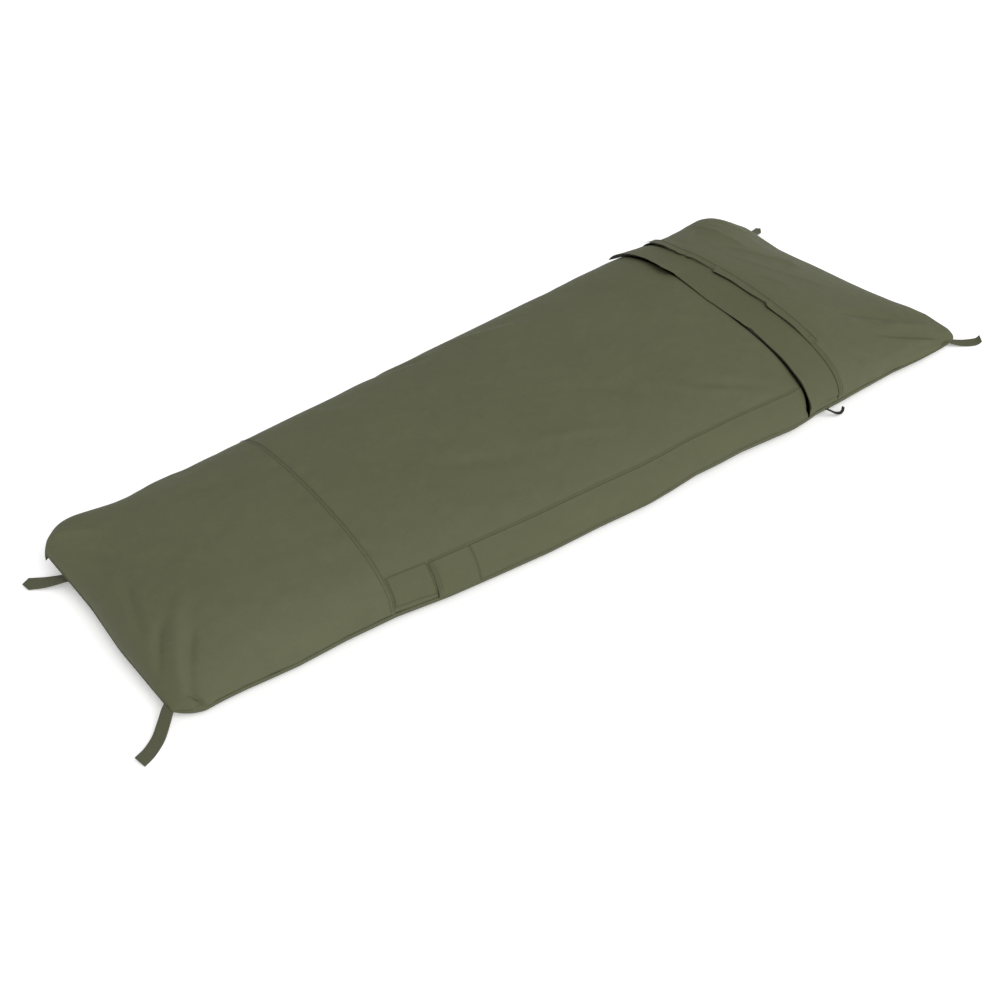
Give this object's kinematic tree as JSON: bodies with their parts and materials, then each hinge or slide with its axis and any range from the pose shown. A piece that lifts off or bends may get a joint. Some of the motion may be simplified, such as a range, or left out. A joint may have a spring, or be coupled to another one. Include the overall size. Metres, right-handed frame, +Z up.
{
  "type": "bivy sack",
  "caption": "Hooded waterproof bivy sack lying flat: tub floor, storm flap across the chest, zip down one side under a flap, and webbing peg loops at its corners",
  "frame": {"origin": "the middle of the floor between the zip side and the far side, 7.5 mm from the middle of the length, on the ground, at the resting mount", "axes": "+X towards the head end, +Y towards the far side from the zip, +Z up"},
  "size_m": [2.4564, 0.8546, 0.1745],
  "materials": {
    "shell_fabric": "matt olive waterproof laminate with a fine plain weave",
    "flap_fabric": "the same olive laminate, doubled and topstitched",
    "floor_fabric": "heavier coated olive cloth",
    "webbing": "dark olive woven webbing, 25 mm wide",
    "black_tape": "narrow black woven tape",
    "zip_tape": "black knitted zip tape",
    "zip_teeth": "black moulded coil",
    "zip_slider": "dark painted die-cast metal",
    "hook_pad": "dark moulded hooks on tape",
    "loop_pad": "dark napped loop tape",
    "seam_tape": "grey translucent heat-bonded seam tape"
  },
  "bodies": {
    "root": {"floor_panel": "floor_fabric", "foot_panel": "shell_fabric", "body_panel": "shell_fabric", "hood_panel": "shell_fabric", "entry_facing": "shell_fabric", "zip_end_patch": "shell_fabric", "chest_zip_head_tape": "zip_tape", "chest_zip_head_teeth": "zip_teeth", "side_zip_lower_tape": "zip_tape", "side_zip_lower_teeth": "zip_teeth", "side_zip_bottom_stop": "zip_slider", "storm_flap_loop_1": "loop_pad", "storm_flap_loop_2": "loop_pad", "storm_flap_loop_3": "loop_pad", "foot_seam_tape": "seam_tape", "hood_seam_tape": "seam_tape"},
    "entry_corner": {"entry_corner": "shell_fabric", "side_flap_end": "flap_fabric", "chest_zip_foot_tape": "zip_tape", "chest_zip_foot_teeth": "zip_teeth", "side_zip_upper_tape": "zip_tape", "side_zip_upper_teeth": "zip_teeth"},
    "storm_flap": {"storm_flap": "flap_fabric", "storm_flap_hook_1": "hook_pad", "storm_flap_hook_2": "hook_pad", "storm_flap_hook_3": "hook_pad"},
    "hood_placket": {"hood_placket": "flap_fabric"},
    "side_flap": {"side_flap": "flap_fabric"},
    "side_zip_slider": {"side_zip_slider": "zip_slider"},
    "side_zip_pull": {"side_zip_pull": "zip_slider"},
    "foot_left_loop": {"foot_left_loop": "webbing"},
    "foot_right_loop": {"foot_right_loop": "webbing"},
    "head_left_loop": {"head_left_loop": "webbing"},
    "head_right_loop": {"head_right_loop": "webbing"},
    "side_loop": {"side_loop": "black_tape"}
  },
  "joints": [
    {"name": "entry_corner_fold", "type": "hinge", "parent": "root", "child": "entry_corner", "pos_m": [0.05, -0.051, 0.17], "axis": [-0.9337, -0.3582, 0], "range_deg": [0, 150]},
    {"name": "side_flap_lift", "type": "hinge", "parent": "entry_corner", "child": "side_flap", "pos_m": [0, -0.32866, 0.10723], "axis": [-0.9982, 0.0604, 0], "range_deg": [0, 150]},
    {"name": "storm_flap_lift", "type": "hinge", "parent": "root", "child": "storm_flap", "pos_m": [0.722, 0, 0.174], "axis": [0, 1, 0], "range_deg": [0, 100]},
    {"name": "hood_placket_lift", "type": "hinge", "parent": "root", "child": "hood_placket", "pos_m": [0.742, 0, 0.178], "axis": [0, 1, 0], "range_deg": [0, 75]},
    {"name": "side_zip_run", "type": "slide", "parent": "root", "child": "side_zip_slider", "axis": [-0.9978, 0.066, 0.0005], "range_m": [0, 1.03]},
    {"name": "side_zip_pull_turn", "type": "hinge", "parent": "side_zip_slider", "child": "side_zip_pull", "pos_m": [0.57272, -0.39214, 0.07048], "axis": [-0.0285, -0.424, -0.9052], "range_deg": [0, 150]},
    {"name": "foot_left_loop_fold", "type": "hinge", "parent": "root", "child": "foot_left_loop", "pos_m": [-1.137, 0.207, 0.026], "axis": [0.6293, 0.7771, 0], "range_deg": [0, 90]},
    {"name": "foot_right_loop_fold", "type": "hinge", "parent": "root", "child": "foot_right_loop", "pos_m": [-1.135, -0.27, 0.026], "axis": [-0.5592, 0.829, 0], "range_deg": [0, 90]},
    {"name": "head_left_loop_fold", "type": "hinge", "parent": "root", "child": "head_left_loop", "pos_m": [1.146, 0.325, 0.012], "axis": [0.2079, -0.9781, 0], "range_deg": [0, 90]},
    {"name": "head_right_loop_fold", "type": "hinge", "parent": "root", "child": "head_right_loop", "pos_m": [1.151, -0.372, 0.012], "axis": [-0.5878, -0.809, 0], "range_deg": [0, 90]},
    {"name": "side_loop_fold", "type": "hinge", "parent": "root", "child": "side_loop", "pos_m": [0.668, -0.412, 0.026], "axis": [-0.6691, -0.7431, 0], "range_deg": [0, 90]}
  ]
}
